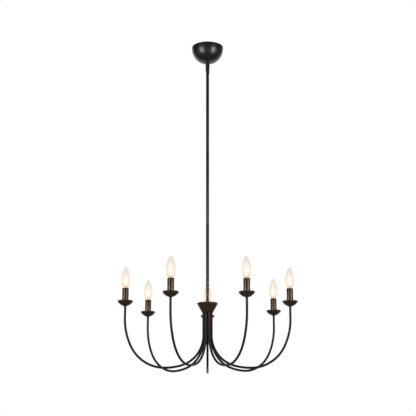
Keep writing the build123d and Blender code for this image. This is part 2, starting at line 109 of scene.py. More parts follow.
class ChandelierShape(PropertyGroup):
    """Sizes of the modelled pieces that the frame doesn't give."""

    canopy_band: length_property("Canopy band", "Height of the plain band at the ceiling", 0.005)
    canopy_step: length_property("Canopy step", "How far the band stands out from the dome", 0.0005)
    sheet_wall: length_property("Sheet wall", "Thickness of the spun sheet metal", 0.0012)
    edge_round: length_property("Edge round", "Rounding of cut metal edges", 0.0004)
    rod_groove: length_property("Rod groove", "Chamfer that shows as a line where two rods meet", 0.0007)
    hub_lid: length_property("Hub lid", "Height of the cover's edge above the cone", 0.002)
    hub_band: length_property("Hub band", "Height of the upright band at the top of the cone", 0.0036)
    hub_collar: length_property("Hub collar", "Radius of the collar under the lowest rod", 0.0085)
    mouth_gap: length_property("Mouth gap", "Clearance between the arm roots and the cone's mouth", 0.0003)
    arm_low_reach: length_property("Arm low reach", "Distance of the arm's low point from the axis", 0.1653)
    arm_root_depth: length_property("Arm root depth", "Where the root's bend starts, below the rims", 0.118)
    arm_tip_depth: length_property("Arm tip depth", "Where the tip's bend ends, below the rims", 0.0656)
    arm_root_turn: turn_property("Arm root turn", "Turn of the tighter arc at the root", 73.5)
    arm_tip_turn: turn_property("Arm tip turn", "Turn of the tighter arc at the tip", 26.6)
    lip_radius: length_property("Lip radius", "Radius of the cup's rolled lip", 0.0032)
    cup_wall: length_property("Cup wall", "Thickness of the cup's bowl", 0.0016)
    cup_neck: length_property("Cup neck", "Radius of the neck under the cup", 0.0056)
    cup_neck_height: length_property("Cup neck height", "Height of the neck under the cup", 0.002)
    cup_belly: length_property("Cup belly", "Radius of the bowl's underside half way down", 0.0208)
    cup_belly_depth: length_property("Cup belly depth", "Depth of that place below the rim", 0.0127)
    cup_floor: length_property("Cup floor", "Depth of the bowl's floor below its rim", 0.0162)
    sleeve_wall: length_property("Sleeve wall", "Thickness of the candle sleeve", 0.0008)
    glass_wall: length_property("Glass wall", "Thickness of the bulb's glass", 0.0007)
    thread_pitch: length_property("Thread pitch", "Pitch of the bulb's screw thread", 0.00254)
    thread_depth: length_property("Thread depth", "Depth of the bulb's screw thread", 0.0005)


class ChandelierFinish(PropertyGroup):
    """Colours and gloss of the finishes."""

    black: colour_property(
        "Black enamel", "Satin enamel of the canopy and the upper rods", (0.0125, 0.0122, 0.013))
    black_rub: colour_property("Rubbed black", "Grey that shows on rubbed edges", (0.03, 0.028, 0.026))
    # On the lowest rod this bronze stands partly for painted warm light from the bulbs.
    bronze: colour_property(
        "Bronze enamel", "Dark enamel of the hub, the cups and the lowest rod", (0.021, 0.0136, 0.0095))
    bronze_rub: colour_property("Rubbed bronze", "Brown that shows on rubbed edges", (0.075, 0.046, 0.028))
    arm: colour_property("Arm enamel", "Duller enamel of the arms", (0.0138, 0.0098, 0.0075))
    sleeve: colour_property("Sleeve bronze", "Brushed bronze of the candle sleeves", (0.124, 0.082, 0.054))
    enamel_gloss: share_property("Enamel roughness", "Roughness of the black enamel", 0.33)
    dull_gloss: share_property("Dull roughness", "Roughness of the small screw heads", 0.65)
    bronze_gloss: share_property("Bronze roughness", "Roughness of the bronze enamel", 0.34)
    arm_gloss: share_property("Arm roughness", "Roughness of the arms' enamel", 0.42)
    sleeve_gloss: share_property("Sleeve roughness", "Roughness of the brushed sleeves", 0.32)
    glass_clear: colour_property("Clear glass", "Glass above the filament", (0.95, 0.918, 0.882))
    # Painted light: the glass is tinted brighter beside the filament and warmer at the neck, for the
    # filament's light on it.
    glass_hot: colour_property("Bright glass", "Glass beside the filament", (0.99, 0.964, 0.924))
    glass_warm: colour_property("Warm glass", "Glass at the neck", (0.945, 0.865, 0.735))
    # Painted shade: the glass seen edge on is tinted darker, with painted warm light on its lower part.
    glass_edge: colour_property("Glass edge", "Upper glass seen edge on", (0.8, 0.735, 0.67))
    glass_edge_warm: colour_property("Warm glass edge", "Lower glass seen edge on", (0.88, 0.69, 0.51))
    # Painted glow: the glass itself is given a faint emission beside the filament.
    glass_glow: colour_property(
        "Glass glow", "Light that the glass spreads beside the filament", (0.031, 0.0195, 0.0118))
    filament_foot: colour_property("Filament feet", "Glow of the wire at its feet", (1.0, 0.45, 0.12))
    filament: colour_property("Filament", "Glow of the filament", (1.0, 0.72, 0.36))
    filament_top: colour_property("Filament top", "Glow of the hottest wire", (1.0, 0.86, 0.6))
    filament_strength: FloatProperty(
        name="Filament strength", description="Brightness of the filament", default=14.0)


class ChandelierStage(PropertyGroup):
    """Camera, lamps and floor."""

    eye: FloatVectorProperty(
        name="Camera place", description="Where the camera stands", default=(0.0018, -3.5905, -1.582),
        subtype="TRANSLATION")
    pitch: turn_property("Camera pitch", "How far the camera looks up", 14.38)
    lens: FloatProperty(name="Lens", description="Focal length", default=83.73, unit="CAMERA")
    floor_height: length_property("Floor height", "Height of the floor below the ceiling", -2.7)
    floor_glow: share_property("Floor glow", "How much paler the floor looks than the lamps make it", 0.4)
    softbox_power: FloatProperty(
        name="Softbox power", description="Power of each side lamp", default=42.0, unit="POWER")
    bulb_power: FloatProperty(
        name="Bulb power", description="Power of the light from each bulb", default=0.8, unit="POWER")
    ambient: share_property("Ambient", "Level of the room's even light", 0.45)


# Limits and step counts of the modelling, with lengths in metres
MERGE_DISTANCE = 1e-7
SHARP_TURN = radians(38)
FACES_UP = 0.1
LATHE_STEPS = 72
ROD_LATHE_STEPS = 48
SMALL_LATHE_STEPS = 24
DOME_ARC_STEPS = 40
BOWL_STEPS = 14
LIP_STEPS = 18
INNER_BOWL_STEPS = 10
SCREW_DOME_STEPS = 6
TUBE_SIDES = 24
ARC_STEP = 0.006


def outline(*points):
    """A bmesh with a line of edges through (radius, height) points, and the line's vertices."""
    bm = bmesh.new()
    line = [bm.verts.new((radius, 0, height)) for radius, height in points]
    for first, second in zip(line, line[1:]):
        bm.edges.new((first, second))
    return bm, line


def soften(bm, corners, setback, segments=4):
    """Round corners of an outline."""
    bmesh.ops.bevel(
        bm, geom=corners, offset=setback, affect="VERTICES", segments=segments, profile=0.5, material=-1)


def carry_arc(bm, end, pivot, turn, steps):
    """Carry an outline on from its end along an arc about a (radius, height) pivot; return the new end."""
    made = bmesh.ops.spin(
        bm, geom=[end], cent=(pivot[0], 0, pivot[1]), axis=(0, 1, 0), angle=turn, steps=steps)
    return [item for item in made["geom_last"] if isinstance(item, bmesh.types.BMVert)][0]


def carry_line(bm, end, point):
    """Carry an outline on from its end to a (radius, height) point; return the new end."""
    new_end = bm.verts.new((point[0], 0, point[1]))
    bm.edges.new((end, new_end))
    return new_end


def carry_bow(bm, end, middle, finish, steps):
    """Carry an outline on from its end along the arc through two more (radius, height) points."""
    (ax, az), (bx, bz), (cx, cz) = (end.co.x, end.co.z), middle, finish
    double_area = 2 * (ax * (bz - cz) + bx * (cz - az) + cx * (az - bz))
    a_square, b_square, c_square = ax**2 + az**2, bx**2 + bz**2, cx**2 + cz**2
    pivot_x = (a_square * (bz - cz) + b_square * (cz - az) + c_square * (az - bz)) / double_area
    pivot_z = (a_square * (cx - bx) + b_square * (ax - cx) + c_square * (bx - ax)) / double_area
    start = Vector((ax - pivot_x, az - pivot_z))
    turn = start.angle_signed(Vector((cx - pivot_x, cz - pivot_z)))
    return carry_arc(bm, end, (pivot_x, pivot_z), turn, steps)


def lathe(bm, steps=LATHE_STEPS):
    """Spin an outline about the Z axis into a closed form with its faces outwards."""
    bmesh.ops.spin(
        bm, geom=bm.verts[:] + bm.edges[:], cent=(0, 0, 0), axis=(0, 0, 1), angle=2 * pi, steps=steps,
        use_merge=True)
    bmesh.ops.remove_doubles(bm, verts=bm.verts, dist=MERGE_DISTANCE)
    bmesh.ops.recalc_face_normals(bm, faces=bm.faces)
    return bm


def place(bm, matrix):
    """Move a whole bmesh."""
    bmesh.ops.transform(bm, matrix=matrix, verts=bm.verts)


def join(bm, other):
    """Add another bmesh to a bmesh and free it."""
    mesh = bpy.data.meshes.new("joined")
    other.to_mesh(mesh)
    other.free()
    bm.from_mesh(mesh)
    bpy.data.meshes.remove(mesh)


def arm_turn(number):
    """The turn that brings a form from the +Y side to an arm."""
    cup = centre(f"cup_{number}")
    return Matrix.Rotation(-atan2(cup.x, cup.y), 4, "Z")


def cup_place(number):
    """The matrix that stands a form made on the Z axis, at its true height, on an arm's cup."""
    cup = centre(f"cup_{number}")
    return Matrix.Translation((cup.x, cup.y, 0)) @ arm_turn(number)


def add_object(name, data):
    """A new object in the scene."""
    made = bpy.data.objects.new(name, data)
    bpy.context.scene.collection.objects.link(made)
    return made


def add_piece(name, bm, finish, body, replaced=()):
    """Make a finished piece of a bmesh, on a body, in the place of CAD nodes."""
    mesh = bpy.data.meshes.new(name)
    bm.to_mesh(mesh)
    bm.free()
    mesh.shade_smooth()
    mesh.set_sharp_from_angle(angle=SHARP_TURN)
    finishes = finish if isinstance(finish, (list, tuple)) else [finish]
    for material in finishes:
        mesh.materials.append(material)
    piece = add_object(name, mesh)
    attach(piece, body)
    if replaced:
        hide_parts(*replaced)
    return piece


def left_out(lamps):
    """The collection of pieces that one kind of lamp doesn't light."""
    name = f"left_out_by_{lamps}"
    return bpy.data.collections.get(name) or bpy.data.collections.new(name)


def feed(tree, node, inputs):
    """Set a node's inputs to values, or link the outputs of other nodes to them."""
    for label, value in inputs.items():
        if isinstance(value, bpy.types.NodeSocket):
            tree.links.new(value, node.inputs[label])
        else:
            node.inputs[label].default_value = value


def add_node(tree, kind, inputs, **settings):
    """A new node with its settings and inputs."""
    node = tree.nodes.new(kind)
    for name, value in settings.items():
        setattr(node, name, value)
    feed(tree, node, inputs)
    return node


def math_value(tree, operation, *values):
    """The result of a Math node."""
    return add_node(tree, "ShaderNodeMath", dict(enumerate(values)), operation=operation).outputs[0]


def mixed_colour(tree, factor, first, second):
    """The result of a Mix node for colours."""
    inputs = {"Factor": factor, "A": first, "B": second}
    return add_node(tree, "ShaderNodeMix", inputs, data_type="RGBA").outputs["Result"]


def new_material(name):
    """A new material, its node tree and its shader."""
    material = bpy.data.materials.new(name)
    material.use_nodes = True
    return material, material.node_tree, material.node_tree.nodes["Principled BSDF"]


def dress_node(node, finish):
    """Give a CAD node that stays in view its finish."""
    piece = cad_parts[node]
    if not piece.material_slots:
        piece.data.materials.append(finish)
    for slot in piece.material_slots:
        slot.material = finish


# Noise scales per metre, and shares, of the shared skin
CLOUD_SCALE = 45.0
GLOSS_DRIFT = 0.16
RUB_SCALE = 260.0
RUB_STARTS = 0.52
RUB_FULL = 0.62
GRAIN_STRENGTH = 0.08
GROUP_INPUTS = (
    ("Colour", "NodeSocketColor", (0.1, 0.1, 0.1, 1.0)),
    ("Rubbed", "NodeSocketColor", (0.2, 0.2, 0.2, 1.0)),
    ("Rub Amount", "NodeSocketFloat", 0.3),
    ("Drift", "NodeSocketFloat", 0.25),
    ("Roughness", "NodeSocketFloat", 0.35),
    ("Grain Scale", "NodeSocketFloat", 1500.0),
    ("Grain Stretch", "NodeSocketFloat", 1.0),
)
GROUP_OUTPUTS = (
    ("Colour", "NodeSocketColor"), ("Roughness", "NodeSocketFloat"), ("Height", "NodeSocketFloat"))


def skin_group():
    """The shared surface effect: colour drift, rubbed edges, uneven gloss and a fine skin."""
    name = "Metal Skin"
    if name in bpy.data.node_groups:
        return bpy.data.node_groups[name]
    tree = bpy.data.node_groups.new(name, "ShaderNodeTree")
    for label, kind, default in GROUP_INPUTS:
        socket = tree.interface.new_socket(name=label, in_out="INPUT", socket_type=kind)
        socket.default_value = default
    for label, kind in GROUP_OUTPUTS:
        tree.interface.new_socket(name=label, in_out="OUTPUT", socket_type=kind)
    given = tree.nodes.new("NodeGroupInput").outputs
    spot = tree.nodes.new("ShaderNodeTexCoord").outputs["Object"]

    cloud = add_node(tree, "ShaderNodeTexNoise", {"Vector": spot, "Scale": CLOUD_SCALE, "Detail": 4.0})
    centred = math_value(tree, "SUBTRACT", cloud.outputs["Fac"], 0.5)
    drift = math_value(tree, "MULTIPLY_ADD", centred, given["Drift"], 1.0)
    shaded = add_node(tree, "ShaderNodeVectorMath", {0: given["Colour"], "Scale": drift}, operation="SCALE")
    gloss = math_value(tree, "MULTIPLY_ADD", centred, GLOSS_DRIFT, given["Roughness"])

    edge = tree.nodes.new("ShaderNodeNewGeometry").outputs["Pointiness"]
    worn = add_node(
        tree, "ShaderNodeMapRange", {"Value": edge, "From Min": RUB_STARTS, "From Max": RUB_FULL})
    broken = add_node(tree, "ShaderNodeTexNoise", {"Vector": spot, "Scale": RUB_SCALE, "Detail": 3.0})
    rub = math_value(tree, "MULTIPLY", worn.outputs["Result"], broken.outputs["Fac"])
    rub_amount = math_value(tree, "MULTIPLY", rub, given["Rub Amount"])
    colour = mixed_colour(tree, rub_amount, shaded.outputs["Vector"], given["Rubbed"])

    stretch = add_node(tree, "ShaderNodeCombineXYZ", {"X": 1.0, "Y": 1.0, "Z": given["Grain Stretch"]})
    grain_spot = add_node(
        tree, "ShaderNodeVectorMath", {0: spot, 1: stretch.outputs["Vector"]}, operation="MULTIPLY")
    grain = add_node(tree, "ShaderNodeTexNoise", {
        "Vector": grain_spot.outputs["Vector"], "Scale": given["Grain Scale"], "Detail": 2.0})
    add_node(tree, "NodeGroupOutput", {
        "Colour": colour, "Roughness": gloss, "Height": grain.outputs["Fac"]})
    return tree


def opaque(colour):
    """A colour property as a full colour."""
    return (*colour[:3], 1.0)


def skin_material(name, colour, rubbed, roughness, metallic=0.0, rub=0.3, drift=0.25, grain=1500.0,
                  stretch=1.0, grain_depth=0.00002, sheen=0.5):
    """A metal, enamel or plastic finish on the shared skin."""
    material, tree, shader = new_material(name)
    skin = add_node(tree, "ShaderNodeGroup", {
        "Colour": opaque(colour), "Rubbed": opaque(rubbed), "Rub Amount": rub, "Drift": drift,
        "Roughness": roughness, "Grain Scale": grain, "Grain Stretch": stretch}, node_tree=skin_group())
    bump = add_node(tree, "ShaderNodeBump", {
        "Strength": GRAIN_STRENGTH, "Distance": grain_depth, "Height": skin.outputs["Height"]})
    feed(tree, shader, {
        "Base Color": skin.outputs["Colour"], "Roughness": skin.outputs["Roughness"], "Metallic": metallic,
        "Specular IOR Level": sheen, "Normal": bump.outputs["Normal"]})
    return material


def satin_black(finish):
    """Satin black enamel with a faint orange peel."""
    return skin_material(
        "satin_black", finish.black, finish.black_rub, finish.enamel_gloss, rub=0.4, sheen=0.8)


def flat_black(finish):
    """Dull black of the small screw heads."""
    return skin_material("flat_black", finish.black, finish.black_rub, finish.dull_gloss, sheen=0.3)


def dark_bronze(finish):
    """Dark brown-black enamel, rubbed to brown along its edges."""
    return skin_material(
        "dark_bronze", finish.bronze, finish.bronze_rub, finish.bronze_gloss, rub=0.55, drift=0.5,
        sheen=0.34)


def arm_enamel(finish):
    """Dark enamel of the arms, duller than the hub's."""
    return skin_material(
        "arm_enamel", finish.arm, finish.bronze_rub, finish.arm_gloss, rub=0.3, drift=0.3, sheen=0.13)


def brushed_sleeve(finish):
    """Brushed bronze with streaks along the sleeve."""
    return skin_material(
        "brushed_sleeve", finish.sleeve, finish.bronze_rub, finish.sleeve_gloss, metallic=0.85, drift=0.2,
        grain=1900.0, stretch=0.03, grain_depth=0.000012)


def plated_zinc():
    """Bright zinc plate."""
    return skin_material("plated_zinc", (0.5, 0.5, 0.48), (0.7, 0.7, 0.68), 0.34, metallic=1.0, drift=0.3)


def dull_brass():
    """Plain brass, a little tarnished."""
    return skin_material("dull_brass", (0.6, 0.43, 0.18), (0.75, 0.58, 0.28), 0.3, metallic=1.0, drift=0.5)


def moulded_resin():
    """Dark moulded resin."""
    return skin_material("moulded_resin", (0.035, 0.027, 0.022), (0.08, 0.07, 0.06), 0.5, drift=0.4)


def cable_cover():
    """Black flexible jacket."""
    return skin_material("cable_cover", (0.02, 0.02, 0.021), (0.05, 0.05, 0.05), 0.42, rub=0.1)


def connector_cap():
    """Orange moulded plastic."""
    return skin_material("connector_cap", (0.62, 0.17, 0.02), (0.75, 0.3, 0.08), 0.45, rub=0.2)


def earth_green():
    """Green dyed zinc of the earth screw."""
    return skin_material("earth_green", (0.03, 0.2, 0.06), (0.2, 0.35, 0.2), 0.35, metallic=0.7)


def height_share(tree, low, high):
    """The share of the way up between two heights."""
    spot = tree.nodes.new("ShaderNodeTexCoord").outputs["Object"]
    split = add_node(tree, "ShaderNodeSeparateXYZ", {"Vector": spot})
    share = add_node(
        tree, "ShaderNodeMapRange", {"Value": split.outputs["Z"], "From Min": low, "From Max": high})
    return share.outputs["Result"]


def colour_ramp(tree, share, *stops):
    """The colour at a share of the way through (place, colour) stops."""
    ramp = add_node(tree, "ShaderNodeValToRGB", {"Fac": share})
    elements = ramp.color_ramp.elements
    while len(elements) < len(stops):
        elements.new(0.5)
    for element, (position, colour) in zip(elements, stops):
        element.position = position
        element.color = opaque(colour)
    return ramp.outputs["Color"]


NO_LIGHT = (0.0, 0.0, 0.0)


def clear_glass(finish):
    """Clear glass with painted light: painted warm light and a painted glow near the filament, and painted
    shade where it is seen edge on.
    """
    material, tree, shader = new_material("clear_glass")
    share = height_share(tree, SLEEVE_TOP, GLASS_HIGH.z)
    # Painted light: the tint is brightest beside the filament and warm at the neck, for the filament's
    # light.
    body = colour_ramp(
        tree, share, (0.0, finish.glass_warm), (0.22, finish.glass_hot), (0.45, finish.glass_hot),
        (0.8, finish.glass_clear))
    # Painted shade: a darker tint where the glass is seen edge on, mixed in by facing, warm low down as
    # painted warm light.
    edge = colour_ramp(
        tree, share, (0.0, finish.glass_edge_warm), (0.5, finish.glass_edge_warm), (0.8, finish.glass_edge))
    facing = add_node(tree, "ShaderNodeLayerWeight", {"Blend": 0.45})
    # Painted glow: a faint emission on the glass beside the filament, none at its top and neck.
    glow = colour_ramp(tree, share, (0.0, NO_LIGHT), (0.38, finish.glass_glow), (0.85, NO_LIGHT))
    feed(tree, shader, {
        "Base Color": mixed_colour(tree, facing.outputs["Facing"], body, edge), "Roughness": 0.02,
        "IOR": 1.45, "Transmission Weight": 1.0, "Emission Color": glow, "Emission Strength": 1.0})
    return material


def filament_glow(finish):
    """White-hot wire, a little cooler towards its feet."""
    material, tree, shader = new_material("filament_glow")
    share = height_share(tree, SLEEVE_TOP, BASE_HIGH.z)
    heat = colour_ramp(
        tree, share, (0.0, finish.filament_foot), (0.7, finish.filament), (1.0, finish.filament_top))
    feed(tree, shader, {
        "Roughness": 0.5, "Emission Color": heat, "Emission Strength": finish.filament_strength})
    return material


def make_canopy(shape):
    """The dome with its plain band, as one spun shell that is open at the ceiling."""
    radius = half_width("canopy")
    hole = half_width("swivel_fork") + shape.edge_round
    dome = radius - shape.canopy_step
    inner = dome - shape.sheet_wall
    top = CANOPY_HIGH.z
    band = top - shape.canopy_band
    bm, line = outline((inner, top), (radius, top), (radius, band), (dome, band))
    end = carry_arc(bm, line[-1], (0, band), acos(hole / dome), DOME_ARC_STEPS)
    end = carry_line(bm, end, (hole, band - sqrt(inner**2 - hole**2)))
    end = carry_arc(bm, end, (0, band), -acos(hole / inner), DOME_ARC_STEPS)
    bm.edges.new((end, line[0]))
    soften(bm, line[:3], shape.edge_round)
    return lathe(bm, 2 * LATHE_STEPS)


def make_screw_head(radius, height, slot_width, slot_depth):
    """A round screw head on the Z axis with a straight driver slot."""
    edge_height = height * 0.3
    shoulder = (radius * 0.72, height * 0.82)
    bm, line = outline((0, 0), (radius, 0), (radius, edge_height))
    carry_bow(bm, line[-1], shoulder, (0, height), SCREW_DOME_STEPS)
    lathe(bm, SMALL_LATHE_STEPS)
    for side in (-1, 1):
        whole = bm.verts[:] + bm.edges[:] + bm.faces[:]
        bmesh.ops.bisect_plane(bm, geom=whole, plane_co=(side * slot_width / 2, 0, 0), plane_no=(1, 0, 0))
    strip = [
        face for face in bm.faces
        if abs(face.calc_center_median().x) < slot_width / 2 and face.normal.z > FACES_UP
    ]
    made = bmesh.ops.extrude_face_region(bm, geom=strip)
    floor = [item for item in made["geom"] if isinstance(item, bmesh.types.BMVert)]
    bmesh.ops.delete(bm, geom=strip, context="FACES_ONLY")
    bmesh.ops.translate(bm, verts=floor, vec=(0, 0, -slot_depth))
    return bm


def make_rod(node, shape):
    """One rod with chamfered ends, which show as a fine line at each joint."""
    low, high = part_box(node)
    radius = half_width(node)
    groove = shape.rod_groove
    bm, line = outline(
        (0, low.z), (radius - groove, low.z), (radius, low.z + groove),
        (radius, high.z - groove), (radius - groove, high.z), (0, high.z))
    soften(bm, [line[2], line[3]], shape.edge_round)
    return lathe(bm, ROD_LATHE_STEPS)


def make_hub_cover(shape):
    """The flat cover with its collar."""
    radius = half_width("hub_cover")
    plug = radius - 2 * shape.sheet_wall
    collar = shape.hub_collar
    rods_bottom = COVER_HIGH.z
    seat = CONE_HIGH.z
    top = seat + shape.hub_lid
    bm, line = outline(
        (0, COVER_LOW.z), (plug, COVER_LOW.z), (plug, seat), (radius, seat), (radius, top), (collar, top),
        (collar, rods_bottom), (0, rods_bottom))
    soften(bm, [line[4], line[6]], 2 * shape.edge_round)
    return lathe(bm)


def make_hub_cone(shape):
    """The cone round the arm roots, open at its mouth."""
    radius = half_width("hub_cone")
    mouth = ARM_ROOT + ARM_RADIUS + shape.mouth_gap
    top = CONE_HIGH.z
    band = top - shape.hub_band + shape.hub_lid
    low = CONE_LOW.z
    wall = shape.sheet_wall
    inner = radius - wall
    bm, line = outline(
        (radius, top), (radius, band), (mouth + wall, low), (mouth, low), (inner, band), (inner, top))
    bm.edges.new((line[-1], line[0]))
    soften(bm, [line[1], line[2], line[3]], shape.edge_round)
    return lathe(bm)


def bend_radii(across, along, first_turn):
    """Radii of two tangent arcs that turn a tube through a right angle within the given extents."""
    divisor = 1 - cos(first_turn) - sin(first_turn)
    first = (across * (1 - sin(first_turn)) - along * cos(first_turn)) / divisor
    second = (along * (1 - cos(first_turn)) - across * sin(first_turn)) / divisor
    return first, second


def ring_of(made):
    """The vertices and edges that an operator left at its end."""
    return [item for item in made if not isinstance(item, bmesh.types.BMFace)]


def run_tube(bm, ring, rise):
    """Carry a tube's open end straight up or down."""
    edges = [item for item in ring if isinstance(item, bmesh.types.BMEdge)]
    made = ring_of(bmesh.ops.extrude_edge_only(bm, edges=edges)["geom"])
    ends = [item for item in made if isinstance(item, bmesh.types.BMVert)]
    bmesh.ops.translate(bm, verts=ends, vec=(0, 0, rise))
    return ends + [item for item in made if item not in ends and set(item.verts) <= set(ends)]


def make_arm(shape):
    """One arm on the +Y side: down from the hub, round the U and up to its cup."""
    low = ARM_LOW.z + ARM_RADIUS
    root_bend = RIM_HEIGHT - shape.arm_root_depth
    tip_bend = RIM_HEIGHT - shape.arm_tip_depth
    quarter = pi / 2
    root_radii = bend_radii(shape.arm_low_reach - ARM_ROOT, root_bend - low, shape.arm_root_turn)
    tip_radii = bend_radii(ARM_REACH - shape.arm_low_reach, tip_bend - low, shape.arm_tip_turn)
    arcs = (
        (root_radii[0], shape.arm_root_turn),
        (root_radii[1], quarter - shape.arm_root_turn),
        (tip_radii[1], quarter - shape.arm_tip_turn),
        (tip_radii[0], shape.arm_tip_turn),
    )
    bm = bmesh.new()
    bmesh.ops.create_circle(
        bm, cap_ends=False, radius=ARM_RADIUS, segments=TUBE_SIDES,
        matrix=Matrix.Translation((0, ARM_ROOT, ARM_HIGH.z)))
    ring = run_tube(bm, bm.verts[:] + bm.edges[:], root_bend - ARM_HIGH.z)
    y, z = ARM_ROOT, root_bend
    turned = 0.0
    for arc_radius, turn in arcs:
        pivot_y = y + arc_radius * cos(turned)
        pivot_z = z + arc_radius * sin(turned)
        steps = round(arc_radius * turn / ARC_STEP)
        made = bmesh.ops.spin(
            bm, geom=ring, cent=(0, pivot_y, pivot_z), axis=(1, 0, 0), angle=turn, steps=steps)
        ring = ring_of(made["geom_last"])
        turned += turn
        y = pivot_y - arc_radius * cos(turned)
        z = pivot_z - arc_radius * sin(turned)
    run_tube(bm, ring, CUP_LOW.z - z)
    bmesh.ops.holes_fill(bm, edges=bm.edges, sides=TUBE_SIDES)
    bmesh.ops.recalc_face_normals(bm, faces=bm.faces)
    return bm


def make_cup(shape):
    """The drip cup with its rolled lip, on the Z axis at its true height."""
    radius = half_width("cup_1")
    rim = RIM_HEIGHT
    bottom = CUP_LOW.z
    lip = shape.lip_radius
    lip_middle = radius - lip
    neck_top = bottom + shape.cup_neck_height
    lip_start = radians(-70)
    lip_end = radians(215)
    bm, line = outline((0, bottom), (shape.cup_neck, bottom), (shape.cup_neck, neck_top))
    meet = (lip_middle + lip * cos(lip_start), rim - lip + lip * sin(lip_start))
    end = carry_bow(bm, line[-1], (shape.cup_belly, rim - shape.cup_belly_depth), meet, BOWL_STEPS)
    end = carry_arc(bm, end, (lip_middle, rim - lip), lip_start - lip_end, LIP_STEPS)
    floor = (half_width("candle_sleeve_1") + shape.edge_round, rim - shape.cup_floor)
    inner_belly = (shape.cup_belly - shape.cup_wall / 2, rim - shape.cup_belly_depth + shape.cup_wall)
    end = carry_bow(bm, end, inner_belly, floor, INNER_BOWL_STEPS)
    carry_line(bm, end, (0, rim - shape.cup_floor))
    soften(bm, [line[1], line[2]], 2 * shape.edge_round)
    return lathe(bm)


def make_sleeve(shape):
    """The candle sleeve: a thin tube with a rounded top edge."""
    outer = half_width("candle_sleeve_1")
    inner = outer - shape.sleeve_wall
    bm, line = outline(
        (inner, SLEEVE_LOW.z), (outer, SLEEVE_LOW.z), (outer, SLEEVE_TOP), (inner, SLEEVE_TOP))
    bm.edges.new((line[-1], line[0]))
    rounding = 0.45 * shape.sleeve_wall
    soften(bm, line[2:], rounding)
    return lathe(bm)


# Radius and height above the screw base, in metres, from the glass's foot to its tip
GLASS_STATIONS = (
    (0.0059, 0.0), (0.0063, 0.0025), (0.0074, 0.0065), (0.0139, 0.0165), (0.0163, 0.031), (0.0151, 0.0535),
    (0.009, 0.0723), (0.0047, 0.082), (0.0, 0.0845))
TIP_BLUNT = 0.0022


def curve_form(curve):
    """A bmesh of a curve's final form, which takes the curve's place."""
    holder = add_object(curve.name, curve)
    bpy.context.view_layer.update()
    mesh = bpy.data.meshes.new_from_object(holder)
    bm = bmesh.new()
    bm.from_mesh(mesh)
    bpy.data.objects.remove(holder)
    bpy.data.curves.remove(curve)
    bpy.data.meshes.remove(mesh)
    return bm


def smooth_outline(points):
    """A bmesh with a smooth line through a few (radius, height) points, blunt at its last one."""
    curve = bpy.data.curves.new("outline", "CURVE")
    curve.dimensions = "3D"
    curve.resolution_u = 8
    spline = curve.splines.new("BEZIER")
    spline.bezier_points.add(len(points) - 1)
    for knot, (radius, height) in zip(spline.bezier_points, points):
        knot.co = (radius, 0, height)
        knot.handle_left_type = knot.handle_right_type = "AUTO"
    tip = spline.bezier_points[-1]
    tip.handle_left_type = "FREE"
    tip.handle_left = tip.co + Vector((TIP_BLUNT, 0, 0))
    return curve_form(curve)


def make_glass(shape):
    """The blown candle-shaped glass, as a thin closed wall."""
    bottom = GLASS_LOW.z
    bm = smooth_outline([(radius, bottom + height) for radius, height in GLASS_STATIONS])
    lathe(bm, ROD_LATHE_STEPS)
    bmesh.ops.solidify(bm, geom=bm.faces[:], thickness=shape.glass_wall)
    return bm


# The bulb's screw base, with lengths in metres
CONTACT_RADIUS = 0.0024
CONTACT_TO_SHELL = 0.0026
INSULATOR_HEIGHT = 0.0012
SHELL_EDGE = 0.0004
THREAD_START = 0.0006
THREAD_ROOM = 0.003
THREAD_STEPS = 40
THREAD_MERGE = 1e-6
COLLAR_HEIGHT = 0.0022
COLLAR_SLOPE = 0.0004
INSULATOR_MARGIN = 0.0001


def make_screw_base(shape):
    """The bulb's threaded shell with its collar, insulator and contact."""
    radius = half_width("bulb_1_base")
    top = GLASS_LOW.z
    contact_low = BASE_LOW.z
    shell_low = contact_low + CONTACT_TO_SHELL
    insulator_low = shell_low - INSULATOR_HEIGHT
    collar_low = top - COLLAR_HEIGHT
    pitch = shape.thread_pitch
    core = radius - shape.thread_depth
    turns = int((top - shell_low - THREAD_ROOM) / pitch)
    start = shell_low + THREAD_START
    wave = []
    for turn in range(turns):
        level = start + turn * pitch
        wave += [(core, level), (radius, level + pitch / 2)]
    wave.append((core, start + turns * pitch))
    bm, line = outline(*wave)
    soften(bm, line[1:-1], pitch / 4, segments=3)
    bmesh.ops.spin(
        bm, geom=bm.verts[:] + bm.edges[:], cent=(0, 0, 0), axis=(0, 0, 1), angle=2 * pi,
        steps=THREAD_STEPS, dvec=(0, 0, pitch / THREAD_STEPS))
    bmesh.ops.remove_doubles(bm, verts=bm.verts, dist=THREAD_MERGE)
    collar, corners = outline(
        (0, contact_low), (CONTACT_RADIUS, contact_low), (CONTACT_RADIUS, insulator_low),
        (core, shell_low + SHELL_EDGE), (core, collar_low), (radius, collar_low + COLLAR_SLOPE),
        (radius, top), (0, top))
    for corner in (corners[1], corners[6]):
        soften(collar, [corner], shape.edge_round)
    lathe(collar, THREAD_STEPS)
    join(bm, collar)
    bmesh.ops.recalc_face_normals(bm, faces=bm.faces)
    for face in bm.faces:
        level = face.calc_center_median().z
        resin = insulator_low - INSULATOR_MARGIN < level < shell_low
        face.material_index = 1 if resin else 0
    return bm


# Radius and height above the flare's foot, in metres
MOUNT_STATIONS = ((0.0, 0.0), (0.0046, 0.0), (0.0028, 0.004), (0.0024, 0.012), (0.0, 0.0142))
MOUNT_LIFT = 0.0006
MOUNT_ROUND = 0.0015


def make_mount():
    """The glass mount inside the bulb: a flare that closes to a pinched top."""
    bottom = GLASS_LOW.z + MOUNT_LIFT
    bm, line = outline(*[(radius, bottom + height) for radius, height in MOUNT_STATIONS])
    soften(bm, line[2:4], MOUNT_ROUND, segments=5)
    return lathe(bm, SMALL_LATHE_STEPS)


